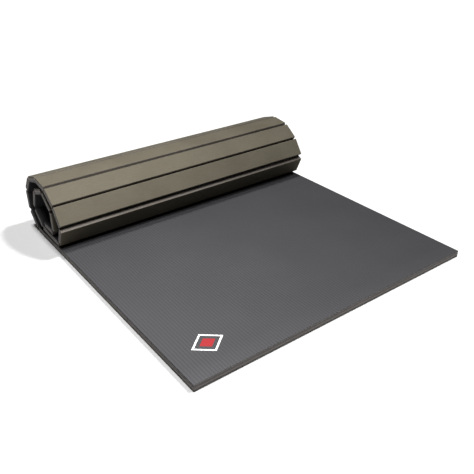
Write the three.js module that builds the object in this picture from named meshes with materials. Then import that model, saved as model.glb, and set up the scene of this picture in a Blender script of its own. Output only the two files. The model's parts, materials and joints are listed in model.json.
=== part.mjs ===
// Roll-out gym mat: a vinyl cover over foam that full-width slits cut into equal slats.
// Slats 1 to 15 lie flat, and slats 16 to 31 are rolled up on top of them, cover inwards.
// Millimetres, +X along the slats, +Y from the front edge to the rolled end, +Z up.

import * as THREE from 'three';

// Driving dimensions
const MAT_WIDTH = 1524;
const MAT_LENGTH = 3048;
const MAT_THICKNESS = 31.75;
const SLAT_COUNT = 31;
const COVER_THICKNESS = 1.2;
const FOAM_EDGE_CHAMFER = 1.5;
const CLEARANCE = 0.3;

// The roll as it lies: the bend in degrees at each slit, from the one where the mat
// leaves the floor to the one that holds the innermost slat.
const ROLL_BENDS = [45, 44, 39, 35, 24, 29, 20, 58, 67, 2, 40, 70, 47, 60, 51, 90];

// The weight of the roll keeps these slats straight, so one length of cover spans them.
const FIRST_CLAMPED_SLAT = 13;
const LAST_CLAMPED_SLAT = 15;

// Worked out from the dimensions above
const SLAT_PITCH = MAT_LENGTH / SLAT_COUNT;
const FLAT_SLAT_COUNT = SLAT_COUNT - ROLL_BENDS.length;
const FOAM_HEIGHT = MAT_THICKNESS - COVER_THICKNESS - CLEARANCE;
const CLAMPED_SLAT_COUNT = LAST_CLAMPED_SLAT - FIRST_CLAMPED_SLAT + 1;

const foamMaterial = new THREE.MeshStandardMaterial({ color: 0x7d7567, roughness: 0.85, metalness: 0 });
const coverMaterial = new THREE.MeshStandardMaterial({ color: 0x5c5c5f, roughness: 0.5, metalness: 0 });

// Each slat has its own frame: the origin is on the front slit at the top of the cover,
// +Y runs along the mat and the foam hangs below, so a slit closes flat and opens from beneath.

// Sweeps an outline in Y and Z along the whole width of the mat, centred on X = 0.
function acrossTheMat(outline) {
  const geometry = new THREE.ExtrudeGeometry(outline, { depth: MAT_WIDTH, bevelEnabled: false });
  // The outline is drawn in X and Y and swept along Z: turn those three into Y, Z and X.
  const axes = new THREE.Matrix4().set(
    0, 0, 1, -MAT_WIDTH / 2,
    1, 0, 0, 0,
    0, 1, 0, 0,
    0, 0, 0, 1,
  );
  return geometry.applyMatrix4(axes);
}

// Foam between two slits, with its two lower edges broken where the blade came through.
function foamSlat(name) {
  const front = CLEARANCE / 2;
  const back = SLAT_PITCH - CLEARANCE / 2;
  const top = -COVER_THICKNESS - CLEARANCE;
  const bottom = top - FOAM_HEIGHT;
  const outline = new THREE.Shape()
    .moveTo(front, top)
    .lineTo(front, bottom + FOAM_EDGE_CHAMFER)
    .lineTo(front + FOAM_EDGE_CHAMFER, bottom)
    .lineTo(back - FOAM_EDGE_CHAMFER, bottom)
    .lineTo(back, bottom + FOAM_EDGE_CHAMFER)
    .lineTo(back, top)
    .closePath();
  const mesh = new THREE.Mesh(acrossTheMat(outline), foamMaterial);
  mesh.name = name;
  return mesh;
}

// Cover over one slat, or over several that stay in line.
function coverStrip(name, slatsCovered) {
  const front = CLEARANCE / 2;
  const back = slatsCovered * SLAT_PITCH - CLEARANCE / 2;
  const outline = new THREE.Shape()
    .moveTo(front, 0)
    .lineTo(front, -COVER_THICKNESS)
    .lineTo(back, -COVER_THICKNESS)
    .lineTo(back, 0)
    .closePath();
  const mesh = new THREE.Mesh(acrossTheMat(outline), coverMaterial);
  mesh.name = name;
  return mesh;
}

function twoDigits(number) {
  return String(number).padStart(2, '0');
}

// The cover that starts on this slat, or nothing where the slat before it brought its own.
function coverOf(slat) {
  if (slat === FIRST_CLAMPED_SLAT) {
    const name = `cover_strip_${twoDigits(slat)}_to_${twoDigits(LAST_CLAMPED_SLAT)}`;
    return coverStrip(name, CLAMPED_SLAT_COUNT);
  }
  if (slat > FIRST_CLAMPED_SLAT && slat <= LAST_CLAMPED_SLAT) {
    return null;
  }
  return coverStrip(`cover_strip_${twoDigits(slat)}`, 1);
}

// How far a slat is turned, in degrees, from the one before it.
function bendBefore(slat) {
  return slat > FLAT_SLAT_COUNT ? ROLL_BENDS[slat - FLAT_SLAT_COUNT - 1] : 0;
}

// Hangs every slat on the one before it, so that the bends add up along the mat.
function slatChain() {
  const chain = new THREE.Group();
  let previous = chain;
  for (let slat = 1; slat <= SLAT_COUNT; slat += 1) {
    const frame = new THREE.Group();
    frame.position.y = slat === 1 ? 0 : SLAT_PITCH;
    frame.rotation.x = THREE.MathUtils.degToRad(bendBefore(slat));
    frame.add(foamSlat(`foam_slat_${twoDigits(slat)}`));
    const cover = coverOf(slat);
    if (cover) {
      frame.add(cover);
    }
    previous.add(frame);
    previous = frame;
  }
  return chain;
}

// Stands the mat on Z = 0 with the middle of its outline over the origin.
function standOnOrigin(object) {
  const box = new THREE.Box3().setFromObject(object, true);
  const middle = box.getCenter(new THREE.Vector3());
  object.position.set(-middle.x, -middle.y, -box.min.z);
  return object;
}

const mat = new THREE.Group();
mat.add(standOnOrigin(slatChain()));

export default mat;
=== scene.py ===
import json
import math
import random
from collections import namedtuple

import bpy
import numpy as np
from mathutils import Matrix, Vector


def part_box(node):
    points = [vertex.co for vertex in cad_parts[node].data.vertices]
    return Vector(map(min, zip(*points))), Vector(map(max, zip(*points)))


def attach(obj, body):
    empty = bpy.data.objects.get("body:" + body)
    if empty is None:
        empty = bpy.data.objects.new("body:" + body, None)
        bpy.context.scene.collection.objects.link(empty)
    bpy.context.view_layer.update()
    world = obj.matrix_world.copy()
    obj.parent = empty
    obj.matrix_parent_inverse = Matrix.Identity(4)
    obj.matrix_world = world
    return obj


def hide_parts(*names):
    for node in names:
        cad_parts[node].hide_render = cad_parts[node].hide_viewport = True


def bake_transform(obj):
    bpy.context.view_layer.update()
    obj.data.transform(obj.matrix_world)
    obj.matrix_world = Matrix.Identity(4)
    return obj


# The looks of the roll-out mat: foam slats, the vinyl cover that bends over the slits,
# the floor, the light and the camera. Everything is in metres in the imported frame: X runs
# along the slats, Y from the mat's front edge to the rolled end, and Z up.

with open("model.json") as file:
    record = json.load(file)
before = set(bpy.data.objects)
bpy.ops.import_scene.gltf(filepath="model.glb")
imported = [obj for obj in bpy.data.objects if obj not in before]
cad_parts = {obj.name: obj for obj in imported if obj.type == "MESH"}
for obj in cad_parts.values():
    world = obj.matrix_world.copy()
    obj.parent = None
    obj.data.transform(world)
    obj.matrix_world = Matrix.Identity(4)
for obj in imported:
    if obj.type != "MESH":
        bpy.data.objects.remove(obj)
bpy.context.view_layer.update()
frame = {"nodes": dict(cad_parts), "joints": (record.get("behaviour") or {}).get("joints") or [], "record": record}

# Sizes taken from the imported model
joints = sorted(frame["joints"], key=lambda joint: joint["name"][-2:])
bodies = frame["record"]["behaviour"]["bodies"]
strip_low, strip_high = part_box("cover_strip_08")
foam_low, foam_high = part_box("foam_slat_08")
WIDTH = strip_high.x - strip_low.x
TOP = strip_high.z
COVER_THICKNESS = strip_high.z - strip_low.z
FOAM_TOP = TOP - foam_high.z
FOAM_BOTTOM = TOP - foam_low.z
PITCH = joints[1]["pos_m"][1] - joints[0]["pos_m"][1]
SLIT_GAP = PITCH - (foam_high.y - foam_low.y)
SLAT_COUNT = sum(name.startswith("foam_slat") for name in frame["nodes"])

# Cover: ridges run along the mat, and a groove parts each from the next. A trimmed edge is
# rounded through points given as shares of its radius, in from the edge and down from the top.
RIDGE_COUNT = 110
RIDGE_PITCH = WIDTH / RIDGE_COUNT
RIDGE_STATIONS = (0, 0.08, 0.22, 0.5, 0.78, 0.92)
GROOVE_DEPTH = 0.00042
COVER_EDGE_RADIUS = 0.0009
EDGE_STEPS = ((0, 1), (0.3, 0.3), (1, 0))
EDGE_CLEARANCE = 1.05
CREASE_REACH = 0.004
CREASE_STEPS = 8
CREASE_MARGIN = 0.001
GRAIN_PITCH = 0.0016

# A generic print by the front left corner: a white rhombus with a red one inside it
MARK_MIDDLE = (0.172, 0.165)
MARK_HALF_SIZE = (0.075, 0.062)
MARK_RIM_INSIDE = 0.83
MARK_RED_REACH = 0.5
WHITE_INK = (0.72, 0.72, 0.72, 1.0)
RED_INK = (0.30, 0.035, 0.04, 1.0)

# Foam: softly rounded blocks with faces that are not quite flat
FOAM_EDGE_RADIUS = 0.0028
FOAM_TOP_RADIUS = 0.0006
ARC_STEPS = 5
ARC_MARGIN = 0.0006
FOAM_COLUMNS = 44
END_ROUNDING_DEGREES = (0, 35, 65, 90)
SKIN_SLOPE = 0.55
SEAM_DEPTH = FOAM_BOTTOM * 0.56
SEAM_HALF_WIDTH = 0.0021
# How far a trimmed edge's painted highlight reaches down from the cover, and its painted shade up from the floor
TOP_HIGHLIGHT_BAND = 0.003
FLOOR_SHADE_REACH = 0.006
SKIN_WAVER = 0.0006
CUT_WAVER = 0.00035
SKIN, SLIT_WALL, TRIMMED_EDGE = range(3)

# Light
OVERHEAD_POWER = 1.78
KEY_POWER = 1.12
SOFTBOX_POWER = 27
SKY_GLOW = 0.03
TOWARDS_OVERHEAD = (0, 0.06, 1)
TOWARDS_KEY = (0.47, -0.22, 0.84)
OVERHEAD_SPREAD = math.radians(11)
KEY_SPREAD = math.radians(6)
SOFTBOX_PLACE = (-0.75, -0.38, 1.75)
SOFTBOX_SIZE = 0.9
FLOOR_REACH = 60

# Camera: where the photographer stood, which way the lens looked and how it was held
CAMERA_PLACE = (-1.5821, -2.1511, 1.5280)
CAMERA_AZIMUTH = math.radians(-36.6596)
CAMERA_PITCH = math.radians(29.5599)
CAMERA_ROLL = math.radians(-0.295)
FOCAL_LENGTH = 45.77
SENSOR_WIDTH = 36

# Names of the maps that carry lengths in metres to the materials
COVER_MAP = "mat_metres"
FOAM_MAP = "slat_metres"

Slat = namedtuple("Slat", "number body slit angle")


def body_of_slat(number):
    """The name of the body that carries this slat."""
    node = f"foam_slat_{number:02d}"
    return next(body for body, members in bodies.items() if node in members)


def bend_at(joint):
    """How far the mat turns up at a joint's slit as it lies, in radians."""
    return math.radians(-joint["range_deg"][0]) if joint["axis"][0] > 0 else 0.0


def slats_as_they_lie():
    """Every slat with the place of its front slit and its direction, from the front edge on."""
    joint_after = {int(joint["name"][-2:]): joint for joint in joints}
    first_slit = joint_after[1]["pos_m"]
    slit = Vector((0, first_slit[1] - PITCH, first_slit[2]))
    angle = 0.0
    found = []
    for number in range(1, SLAT_COUNT + 1):
        found.append(Slat(number, body_of_slat(number), slit, angle))
        slit = slit + PITCH * along(angle)
        if number in joint_after:
            slit = Vector(joint_after[number]["pos_m"])
            angle += bend_at(joint_after[number])
    return found


def along(angle):
    """Direction along the mat where it has turned up by an angle."""
    return Vector((0, math.cos(angle), math.sin(angle)))


def outward(angle):
    """Direction from the cover into the foam where the mat has turned up by an angle."""
    return Vector((0, math.sin(angle), -math.cos(angle)))


def new_piece(name, rings, materials, face_material=None):
    """A smooth mesh object in the row frame: a closed ring swept through others and closed at both ends.

    The end faces have points of their own, so that the sides are shaded as if they went on.
    """
    mesh = bpy.data.meshes.new(name)
    mesh.from_pydata(in_turn(rings), [], swept_faces(len(rings), len(rings[0])))
    for material in materials:
        mesh.materials.append(material)
    if face_material is not None:
        mesh.polygons.foreach_set("material_index", face_material)
    mesh.shade_smooth()
    mesh.validate()
    piece = bpy.data.objects.new(name, mesh)
    bpy.context.scene.collection.objects.link(piece)
    return piece


def lay_map(piece, name, places):
    """Gives each point of a swept piece its place in metres, listed ring by ring as its points are."""
    layer = piece.data.uv_layers.new(name=name)
    corners = np.zeros(len(piece.data.loops), np.int32)
    piece.data.loops.foreach_get("vertex_index", corners)
    layer.data.foreach_set("uv", np.array(in_turn(places), np.float32)[corners].ravel())


def in_turn(rings):
    """The points of every ring, and then those of the two end rings again for the end faces."""
    return [point for ring in (*rings, rings[0], rings[-1]) for point in ring]


def swept_faces(rows, columns):
    """Quads between so many rings of so many points each, and a face over each end."""
    quads = []
    for row in range(rows - 1):
        for column in range(columns):
            beside = (column + 1) % columns
            here = row * columns
            quads.append((here + column, here + beside, here + columns + beside, here + columns + column))
    first, last = rows * columns, (rows + 1) * columns
    return quads + [tuple(range(last - 1, first - 1, -1)), tuple(range(last, last + columns))]


# ---------------------------------------------------------------- materials

class Shader:
    """A material with short calls for the nodes that feed its shader."""

    def __init__(self, name):
        self.material = bpy.data.materials.new(name)
        self.material.use_nodes = True
        self.tree = self.material.node_tree
        self.surface = self.tree.nodes["Principled BSDF"]

    def add(self, kind, **settings):
        node = self.tree.nodes.new(kind)
        for key, value in settings.items():
            setattr(node, key, value)
        return node

    def feed(self, socket, value):
        """Links an output to a socket, or sets the socket to a plain value."""
        if isinstance(value, bpy.types.NodeSocket):
            self.tree.links.new(value, socket)
        else:
            socket.default_value = value

    def maths(self, operation, first, second=0.0):
        node = self.add("ShaderNodeMath", operation=operation)
        self.feed(node.inputs[0], first)
        self.feed(node.inputs[1], second)
        return node.outputs[0]

    def remap(self, value, low, high, to_low, to_high):
        node = self.add("ShaderNodeMapRange", clamp=True, interpolation_type="SMOOTHSTEP")
        for socket, number in zip(node.inputs, (value, low, high, to_low, to_high)):
            self.feed(socket, number)
        return node.outputs[0]

    def noise(self, where, scale, detail=2.0, stretch=(1, 1, 1)):
        """Noise of so many cells a metre, from 0 to 1, stretched along an axis where that is small."""
        mapping = self.add("ShaderNodeMapping")
        self.feed(mapping.inputs["Vector"], where)
        mapping.inputs["Scale"].default_value = stretch
        node = self.add("ShaderNodeTexNoise")
        self.feed(node.inputs["Vector"], mapping.outputs[0])
        node.inputs["Scale"].default_value = scale
        node.inputs["Detail"].default_value = detail
        return node.outputs["Fac"]

    def mix(self, share, first, second):
        node = self.add("ShaderNodeMix", data_type="RGBA")
        self.feed(node.inputs["Factor"], share)
        self.feed(node.inputs["A"], first)
        self.feed(node.inputs["B"], second)
        return node.outputs["Result"]

    def bump(self, height, distance, strength, normal=None):
        node = self.add("ShaderNodeBump")
        node.inputs["Strength"].default_value = strength
        node.inputs["Distance"].default_value = distance
        self.feed(node.inputs["Height"], height)
        if normal is not None:
            self.feed(node.inputs["Normal"], normal)
        return node.outputs[0]

    def looks(self, **sockets):
        for name, value in sockets.items():
            self.feed(self.surface.inputs[name.replace("_", " ")], value)
        return self.material


def tone(red, green, blue):
    return (red, green, blue, 1.0)


def mark_shares(shader, across, length):
    """Where the white rim and the red middle of a plain printed rhombus lie, each 0 or 1."""
    spans = []
    for place, middle, half in zip((across, length), MARK_MIDDLE, MARK_HALF_SIZE):
        from_middle = shader.maths("ABSOLUTE", shader.maths("SUBTRACT", place, middle))
        spans.append(shader.maths("DIVIDE", from_middle, half))
    reach = shader.maths("ADD", *spans)
    outside = shader.maths("LESS_THAN", reach, 1.0)
    inside = shader.maths("GREATER_THAN", reach, MARK_RIM_INSIDE)
    return shader.maths("MULTIPLY", outside, inside), shader.maths("LESS_THAN", reach, MARK_RED_REACH)


def vinyl_material():
    """Satin grey vinyl with a straw grain across its ridges, painted shade in its grooves and a small two-colour
    print.
    """
    shader = Shader("vinyl")
    place = shader.add("ShaderNodeUVMap", uv_map=COVER_MAP).outputs[0]
    parts = shader.add("ShaderNodeSeparateXYZ")
    shader.feed(parts.inputs[0], place)
    across, length = parts.outputs[0], parts.outputs[1]

    phase = shader.maths("FRACT", shader.maths("DIVIDE", across, RIDGE_PITCH))
    from_crest = shader.maths("ABSOLUTE", shader.maths("SUBTRACT", phase, 0.5))
    crest = shader.remap(from_crest, 0.28, 0.47, 1.0, 0.0)

    waver = shader.noise(place, 60, stretch=(4, 1, 1))
    turns = shader.maths("ADD", shader.maths("DIVIDE", length, GRAIN_PITCH), waver)
    straw = shader.maths("SINE", shader.maths("MULTIPLY", turns, 2 * math.pi))
    straw = shader.maths("MULTIPLY", straw, crest)
    pores = shader.noise(place, 2600, detail=1)
    grain = shader.maths("ADD", shader.maths("MULTIPLY", straw, 0.5), pores)

    clouds = shader.noise(place, 3.2, detail=3)
    fleck = shader.noise(place, 700, detail=2)
    body = shader.mix(clouds, tone(0.069, 0.0685, 0.073), tone(0.077, 0.0765, 0.081))
    body = shader.mix(shader.remap(fleck, 0.35, 0.75, 0.0, 0.45), body, tone(0.087, 0.0865, 0.090))
    # Painted shade: the grooves between the ridges are darkened towards their bottoms
    body = shader.mix(shader.remap(from_crest, 0.30, 0.5, 0.0, 0.44), body, tone(0.034, 0.034, 0.036))

    white, red = mark_shares(shader, across, length)
    worn = shader.remap(shader.noise(place, 900, detail=3), 0.25, 0.45, 0.75, 1.0)
    missed = shader.remap(from_crest, 0.42, 0.5, 0, 0.5)
    ink = shader.maths("MULTIPLY", worn, shader.maths("SUBTRACT", 1.0, missed))
    colour = shader.mix(shader.maths("MULTIPLY", white, ink), body, WHITE_INK)
    colour = shader.mix(shader.maths("MULTIPLY", red, ink), colour, RED_INK)

    unevenness = shader.maths("ADD", clouds, shader.maths("MULTIPLY", fleck, 0.6))
    roughness = shader.remap(unevenness, 0.4, 1.2, 0.54, 0.64)
    normal = shader.bump(grain, 0.00012, strength=0.6)
    shader.surface.inputs["Specular IOR Level"].default_value = 0.3
    return shader.looks(Base_Color=colour, Roughness=roughness, Normal=normal)


def foam_material(name, dark, light, pit, cell_size, streaks, trimmed=False):
    """Closed-cell foam: mottled, matt and pitted with cells of about the given size."""
    shader = Shader(name)
    place = shader.add("ShaderNodeTexCoord").outputs["Object"]
    clouds = shader.noise(place, 5, detail=4)
    smears = shader.noise(place, 260, detail=3, stretch=(streaks, 1, 1))
    cloud_part = shader.maths("MULTIPLY", clouds, 0.65)
    blend = shader.maths("ADD", cloud_part, shader.maths("MULTIPLY", smears, 0.35))
    cells = shader.add("ShaderNodeTexVoronoi", feature="F1")
    shader.feed(cells.inputs["Vector"], place)
    cells.inputs["Scale"].default_value = 1 / cell_size
    dimple = cells.outputs["Distance"]
    colour = shader.mix(shader.remap(blend, 0.34, 0.66, 0.0, 1.0), dark, light)
    colour = shader.mix(shader.remap(dimple, 0.35, 0.95, 0.0, 0.3), colour, pit)
    if trimmed:
        colour = layered(shader, colour)
    roughness = shader.remap(clouds, 0.3, 0.7, 0.72, 0.86)
    swell = shader.bump(shader.noise(place, 45, detail=2), 0.0012, strength=0.35)
    normal = shader.bump(dimple, cell_size / 3, strength=0.45, normal=swell)
    shader.surface.inputs["Specular IOR Level"].default_value = 0.25
    return shader.looks(Base_Color=colour, Roughness=roughness, Normal=normal)


def layered(shader, colour):
    """A trimmed edge's bands: a pale glue line between two foams, a painted highlight under the cover and painted
    shade at the floor.
    """
    parts = shader.add("ShaderNodeSeparateXYZ")
    shader.feed(parts.inputs[0], shader.add("ShaderNodeUVMap", uv_map=FOAM_MAP).outputs[0])
    depth = parts.outputs[0]
    off_seam = shader.maths("ABSOLUTE", shader.maths("SUBTRACT", depth, SEAM_DEPTH))
    seam = shader.remap(off_seam, SEAM_HALF_WIDTH / 2, SEAM_HALF_WIDTH, 1.0, 0.0)
    # Painted highlight: a pale band along the top of the trimmed edge, just under the cover
    top_highlight = shader.remap(depth, FOAM_TOP + TOP_HIGHLIGHT_BAND / 2, FOAM_TOP + TOP_HIGHLIGHT_BAND, 1.0, 0.0)
    # Painted shade: a dark band along the bottom of the trimmed edge, where it meets the floor
    floor_shade = shader.remap(depth, FOAM_BOTTOM - FLOOR_SHADE_REACH, FOAM_BOTTOM - FLOOR_SHADE_REACH / 2, 0.0, 1.0)
    # One pale tone paints both the glue line between the foams and the highlight at the top
    colour = shader.mix(shader.maths("MAXIMUM", seam, top_highlight), colour, tone(0.34, 0.31, 0.285))
    return shader.mix(floor_shade, colour, tone(0.11, 0.10, 0.094))


def foam_skin_material():
    """The smooth outer skin of the foam sheet, olive grey."""
    return foam_material("foam_skin", tone(0.132, 0.1195, 0.0935), tone(0.153, 0.1405, 0.112),
                         tone(0.086, 0.0765, 0.059), 0.0009, 0.12)


def shaded_slit_material():
    """The walls of the slits: cut foam, darkened as painted shade for the narrow gaps between slats."""
    return foam_material("foam_slit_painted_shade", tone(0.172, 0.157, 0.142), tone(0.212, 0.195, 0.178),
                         tone(0.09, 0.081, 0.072), 0.0012, 0.5)


def foam_edge_material():
    """The trimmed outer edges of the mat: open cells that catch more light than the skin."""
    return foam_material("foam_edge", tone(0.196, 0.188, 0.184), tone(0.240, 0.231, 0.226),
                         tone(0.115, 0.109, 0.105), 0.0012, 0.5, trimmed=True)


# ---------------------------------------------------------------- foam slats

def arc(centre_along, centre_depth, radius, start_degrees, end_degrees):
    """Points of a rounded corner, as (distance along, depth)."""
    points = []
    for step in range(ARC_STEPS + 1):
        turn = math.radians(start_degrees + (end_degrees - start_degrees) * step / ARC_STEPS)
        points.append((centre_along + radius * math.cos(turn), centre_depth + radius * math.sin(turn)))
    return points


def foam_outline():
    """Outline of a slat as (distance along, depth under the cover's top), and each side's kind."""
    front, back = SLIT_GAP / 2, PITCH - SLIT_GAP / 2
    corners = (
        (front, FOAM_TOP, FOAM_TOP_RADIUS, 270, 180),
        (front, FOAM_BOTTOM, FOAM_EDGE_RADIUS, 180, 90),
        (back, FOAM_BOTTOM, FOAM_EDGE_RADIUS, 90, 0),
        (back, FOAM_TOP, FOAM_TOP_RADIUS, 360, 270),
    )
    points = []
    for corner_along, corner_depth, radius, start, end in corners:
        inside_along = radius if corner_along == front else -radius
        inside_depth = radius if corner_depth == FOAM_TOP else -radius
        rounded = arc(corner_along + inside_along, corner_depth + inside_depth, radius, start, end)
        points += [stepped(rounded[0], start, end, -1), *rounded, stepped(rounded[-1], start, end, 1)]
    return points


def stepped(point, start, end, side):
    """A point on the flat beside a rounded corner, so that the flat stays flat when shaded smooth."""
    turn = math.radians(start if side < 0 else end)
    forward = 1 if end > start else -1
    tangent = (-math.sin(turn) * forward, math.cos(turn) * forward)
    return point[0] + side * ARC_MARGIN * tangent[0], point[1] + side * ARC_MARGIN * tangent[1]


def outline_normals(points):
    """The outward direction at each point of a closed outline."""
    count = len(points)
    middle = (sum(p[0] for p in points) / count, sum(p[1] for p in points) / count)
    normals = []
    for index, point in enumerate(points):
        before, after = points[index - 1], points[(index + 1) % count]
        tangent = Vector((after[0] - before[0], after[1] - before[1])).normalized()
        normal = Vector((tangent.y, -tangent.x))
        if normal.dot(Vector((point[0] - middle[0], point[1] - middle[1]))) < 0:
            normal = -normal
        normals.append(normal)
    return normals


def waver_along(chance, size):
    """A function of X that dips between 0 and size in a slow wave with a quick one on it."""
    slow, slow_start = chance.uniform(2, 4), chance.uniform(0, 6.3)
    quick, quick_start = chance.uniform(7, 12), chance.uniform(0, 6.3)

    def dip(x):
        swing = 0.65 * math.sin(slow * x + slow_start) + 0.35 * math.sin(quick * x + quick_start)
        return size * (0.5 + 0.5 * swing)

    return dip


def foam_stations():
    """X of each ring of the foam, with how far that ring is drawn in to round the slat's ends."""
    half, radius = WIDTH / 2, FOAM_EDGE_RADIUS / 2
    rounding = [(half - radius * (1 - math.cos(turn)), radius * (1 - math.sin(turn)))
                for turn in map(math.radians, END_ROUNDING_DEGREES)]
    left = [(-x, inset) for x, inset in rounding]
    inner = half - 2 * radius
    middle = [(-inner + 2 * inner * step / FOAM_COLUMNS, 0) for step in range(FOAM_COLUMNS + 1)]
    return left + middle + rounding[::-1]


def kind_of_side(slat, normal):
    """Which of the foam's materials a side of a slat shows."""
    if normal.y > SKIN_SLOPE:
        return SKIN
    outer = slat.number == 1 if normal.x < 0 else slat.number == SLAT_COUNT
    return TRIMMED_EDGE if outer else SLIT_WALL


def foam_slat(slat, materials):
    """One foam slat, rounded all round, with skin beneath and cut faces at its slits and ends."""
    chance = random.Random(100 + slat.number)
    dips = {"skin": waver_along(chance, SKIN_WAVER), "front": waver_along(chance, CUT_WAVER),
            "back": waver_along(chance, CUT_WAVER)}
    outline = foam_outline()
    normals = outline_normals(outline)
    direction, down = along(slat.angle), outward(slat.angle)
    stations = foam_stations()
    rings = []
    for x, inset in stations:
        ring = []
        for (reach, depth), normal in zip(outline, normals):
            under = max(normal.y, 0.0)
            side = dips["front"](x) if normal.x < 0 else dips["back"](x)
            drawn_in = inset + under * dips["skin"](x) + abs(normal.x) * side
            reach_in = reach - drawn_in * normal.x
            depth_in = depth - (drawn_in if normal.y > 0 else inset) * normal.y
            ring.append(slat.slit + Vector((x, 0, 0)) + reach_in * direction + depth_in * down)
        rings.append(ring)
    middles = [(normal + normals[(index + 1) % len(normals)]) / 2 for index, normal in enumerate(normals)]
    sides = [kind_of_side(slat, middle) for middle in middles]
    face_material = sides * (len(stations) - 1) + [TRIMMED_EDGE, TRIMMED_EDGE]
    piece = new_piece(f"foam_slat_pad_{slat.number:02d}", rings, materials, face_material)
    lay_map(piece, FOAM_MAP, [[(depth, x) for _, depth in outline] for x, _ in stations])
    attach(piece, slat.body)
    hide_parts(f"foam_slat_{slat.number:02d}")
    return piece


# ---------------------------------------------------------------- vinyl cover

def cover_section():
    """The cover cut across the mat: (X, depth under its top) of each point round it."""
    half = WIDTH / 2
    top = [(-half + share * COVER_EDGE_RADIUS, drop * COVER_EDGE_RADIUS) for share, drop in EDGE_STEPS]
    for ridge in range(RIDGE_COUNT):
        for station in RIDGE_STATIONS:
            x = -half + (ridge + station) * RIDGE_PITCH
            if abs(x) < half - COVER_EDGE_RADIUS * EDGE_CLEARANCE:
                top.append((x, GROOVE_DEPTH * abs(2 * station - 1) ** 4))
    top += [(-x, depth) for x, depth in top[len(EDGE_STEPS) - 1::-1]]
    return top + [(half, COVER_THICKNESS), (-half, COVER_THICKNESS)]


def crease_weight(share):
    """How much of a slit's bend has been made at a share of the way through its crease."""
    return share * share * (3 - 2 * share)


def cover_rows(front_reach, back_reach, front_end, back_end):
    """Rows of the cover over one slit, each (distance past the slit, share of the crease, drop)."""
    edge = CREASE_REACH + CREASE_MARGIN
    ends = [(share * COVER_EDGE_RADIUS, drop * COVER_EDGE_RADIUS) for share, drop in EDGE_STEPS]
    front = [(SLIT_GAP / 2 - front_reach + inset, 0, drop) for inset, drop in ends]
    back = [(back_reach - SLIT_GAP / 2 - inset, 1, drop) for inset, drop in ends[::-1]]
    creased = [((2 * step / CREASE_STEPS - 1) * CREASE_REACH, step / CREASE_STEPS, 0)
               for step in range(CREASE_STEPS + 1)]
    rows = front if front_end else [(-front_reach, 0, 0)]
    rows = rows + [(-edge, 0, 0)] + creased + [(edge, 1, 0)]
    return rows + (back if back_end else [(back_reach, 1, 0)])


def creased_point(bend, distance, share, depth):
    """(along, depth) of a cover point from its slit, in the frame of the slat in front.
    """
    turn = bend * crease_weight(share)
    if 0 < share < 1 or abs(distance) <= CREASE_REACH:
        lean = turn - bend / 2
        chord = 2 * CREASE_REACH * math.cos(bend / 2)
        distance = ((share - 0.5) * chord - depth * math.sin(lean)) / math.cos(lean)
    return (distance * math.cos(turn) + depth * math.sin(turn),
            depth * math.cos(turn) - distance * math.sin(turn))


def cover_piece(front, back, bend, reaches, ends, vinyl):
    """The stretch of cover over the slit between two slats, bent as it lies."""
    slit, section = back.slit, cover_section()
    direction, down = along(front.angle), outward(front.angle)
    rows = cover_rows(*reaches, *ends)
    rings, places = [], []
    from_front_edge = front.number * PITCH
    for distance, share, drop in rows:
        ring = []
        for x, depth in section:
            deep = min(depth + drop, COVER_THICKNESS) if depth < COVER_THICKNESS else depth
            reach, sunk = creased_point(bend, distance, share, deep)
            ring.append(slit + Vector((x, 0, 0)) + reach * direction + sunk * down)
        rings.append(ring)
        places.append([(x + WIDTH / 2, from_front_edge + distance) for x, depth in section])
    piece = new_piece(f"vinyl_over_slit_{front.number:02d}", rings, [vinyl])
    lay_map(piece, COVER_MAP, places)
    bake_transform(piece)
    return piece


def cover(slats, vinyl):
    """The whole cover: a piece over each slit that bends, from mid-body to mid-body."""
    pieces = []
    slats_on = {body: [slat for slat in slats if slat.body == body] for body in bodies}
    for joint in joints:
        number = int(joint["name"][-2:])
        front, back = slats[number - 1], slats[number]
        ends = (front.number == 1, back.number == SLAT_COUNT)
        reaches = [PITCH * len(slats_on[slat.body]) * (1 if end else 0.5)
                   for slat, end in zip((front, back), ends)]
        piece = cover_piece(front, back, bend_at(joint), reaches, ends, vinyl)
        strips = strips_under(back, ends)
        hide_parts(*strips)
        pieces.append(piece)
    return pieces


def strips_under(back, ends):
    """CAD cover strips that the piece in front of this slat stands for."""
    strips = [name for name in bodies[back.body] if name.startswith("cover_strip")]
    if ends[0]:
        strips.append("cover_strip_01")
    return strips


# ---------------------------------------------------------------- studio

def floor():
    """A plain pale floor under the mat."""
    corners = [(x * FLOOR_REACH, y * FLOOR_REACH, 0) for x, y in ((-1, -1), (1, -1), (1, 1), (-1, 1))]
    mesh = bpy.data.meshes.new("studio_floor")
    mesh.from_pydata(corners, [], [(0, 1, 2, 3)])
    shader = Shader("studio_floor")
    mesh.materials.append(shader.looks(Base_Color=tone(0.87, 0.87, 0.87), Roughness=0.9))
    ground = bpy.data.objects.new("studio_floor", mesh)
    bpy.context.scene.collection.objects.link(ground)


def sky():
    """A faint glow from all round. What the camera sees past the floor is as pale as the floor."""
    world = bpy.data.worlds.new("studio_light")
    bpy.context.scene.world = world
    world.use_nodes = True
    nodes, links = world.node_tree.nodes, world.node_tree.links
    glow, pale = nodes["Background"], nodes.new("ShaderNodeBackground")
    glow.inputs["Color"].default_value = tone(1.0, 1.0, 1.0)
    glow.inputs["Strength"].default_value = SKY_GLOW
    pale.inputs["Color"].default_value = tone(1.0, 1.0, 1.0)
    choice = nodes.new("ShaderNodeMixShader")
    links.new(nodes.new("ShaderNodeLightPath").outputs["Is Camera Ray"], choice.inputs[0])
    links.new(glow.outputs[0], choice.inputs[1])
    links.new(pale.outputs[0], choice.inputs[2])
    links.new(choice.outputs[0], nodes["World Output"].inputs["Surface"])


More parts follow.
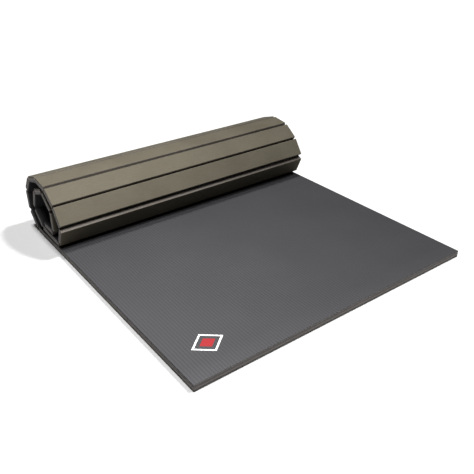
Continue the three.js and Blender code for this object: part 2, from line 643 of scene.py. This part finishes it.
def lamp(name, kind, energy, towards, place=(0, 0, 0), **settings):
    """A light that shines from a direction, out of a place if it is near."""
    light = bpy.data.lights.new(name, kind)
    light.energy = energy
    for key, value in settings.items():
        setattr(light, key, value)
    holder = bpy.data.objects.new(name, light)
    bpy.context.scene.collection.objects.link(holder)
    holder.location = place
    holder.rotation_euler = Vector(towards).to_track_quat("Z", "Y").to_euler()
    return holder


def lamps(pieces):
    """A tight light overhead, one on the right that throws the roll's shadow, and a softbox.

    The softbox hangs over the left side and is flagged off the floor, which is lit evenly.
    """
    lamp("overhead", "SUN", OVERHEAD_POWER, TOWARDS_OVERHEAD, angle=OVERHEAD_SPREAD)
    lamp("key", "SUN", KEY_POWER, TOWARDS_KEY, angle=KEY_SPREAD)
    softbox = lamp("softbox", "AREA", SOFTBOX_POWER, (0, 0, 1), SOFTBOX_PLACE,
                   shape="DISK", size=SOFTBOX_SIZE)
    lit = bpy.data.collections.new("lit_by_softbox")
    for piece in pieces:
        lit.objects.link(piece)
    softbox.light_linking.receiver_collection = lit


def camera():
    """The photographer's place, height and lens."""
    level = Vector((math.cos(CAMERA_AZIMUTH), math.sin(CAMERA_AZIMUTH), 0))
    behind = Vector((math.sin(CAMERA_AZIMUTH), -math.cos(CAMERA_AZIMUTH), 0))
    back = behind * math.cos(CAMERA_PITCH) + Vector((0, 0, math.sin(CAMERA_PITCH)))
    upright = back.cross(level)
    right = level * math.cos(CAMERA_ROLL) + upright * math.sin(CAMERA_ROLL)
    up = upright * math.cos(CAMERA_ROLL) - level * math.sin(CAMERA_ROLL)
    lens = bpy.data.cameras.new("camera")
    lens.lens = FOCAL_LENGTH
    lens.sensor_width = SENSOR_WIDTH
    lens.clip_start, lens.clip_end = 0.05, 200
    viewer = bpy.data.objects.new("camera", lens)
    bpy.context.scene.collection.objects.link(viewer)
    axes = Matrix((right, up, back)).transposed()
    viewer.matrix_world = Matrix.Translation(CAMERA_PLACE) @ axes.to_4x4()
    bpy.context.scene.camera = viewer


slats = slats_as_they_lie()
foam = [foam_skin_material(), shaded_slit_material(), foam_edge_material()]
pieces = [foam_slat(slat, foam) for slat in slats]
pieces += cover(slats, vinyl_material())
floor()
sky()
lamps(pieces)
camera()
bpy.context.scene.view_settings.view_transform = "Standard"
bpy.context.scene.view_settings.look = "High Contrast"
